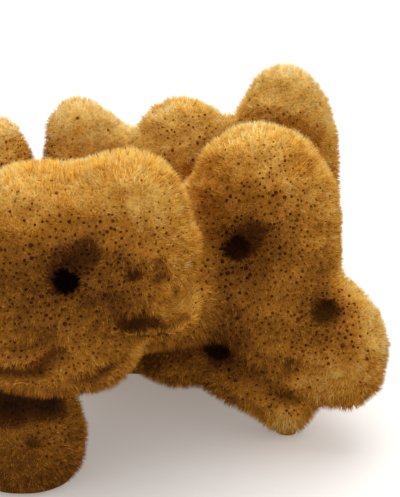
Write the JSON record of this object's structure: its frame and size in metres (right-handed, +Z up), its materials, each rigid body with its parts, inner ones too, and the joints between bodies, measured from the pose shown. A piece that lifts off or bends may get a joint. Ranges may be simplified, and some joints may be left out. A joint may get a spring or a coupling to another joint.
{
  "type": "sea sponge",
  "caption": "Dried natural sea sponge with rounded, finger-like lobes, a soft fibrous skin full of fine pores, and a few large holes.",
  "frame": {"origin": "under the middle of the bounding box, at the height of the cut foot", "axes": "+Z up, the front of the sponge faces -Y, +X to the right when it is looked at from the front"},
  "size_m": [0.1508, 0.1294, 0.1192],
  "materials": {
    "sponge": "matt, soft and fibrous"
  },
  "bodies": {
    "root": {"sponge": "sponge"}
  },
  "joints": []
}
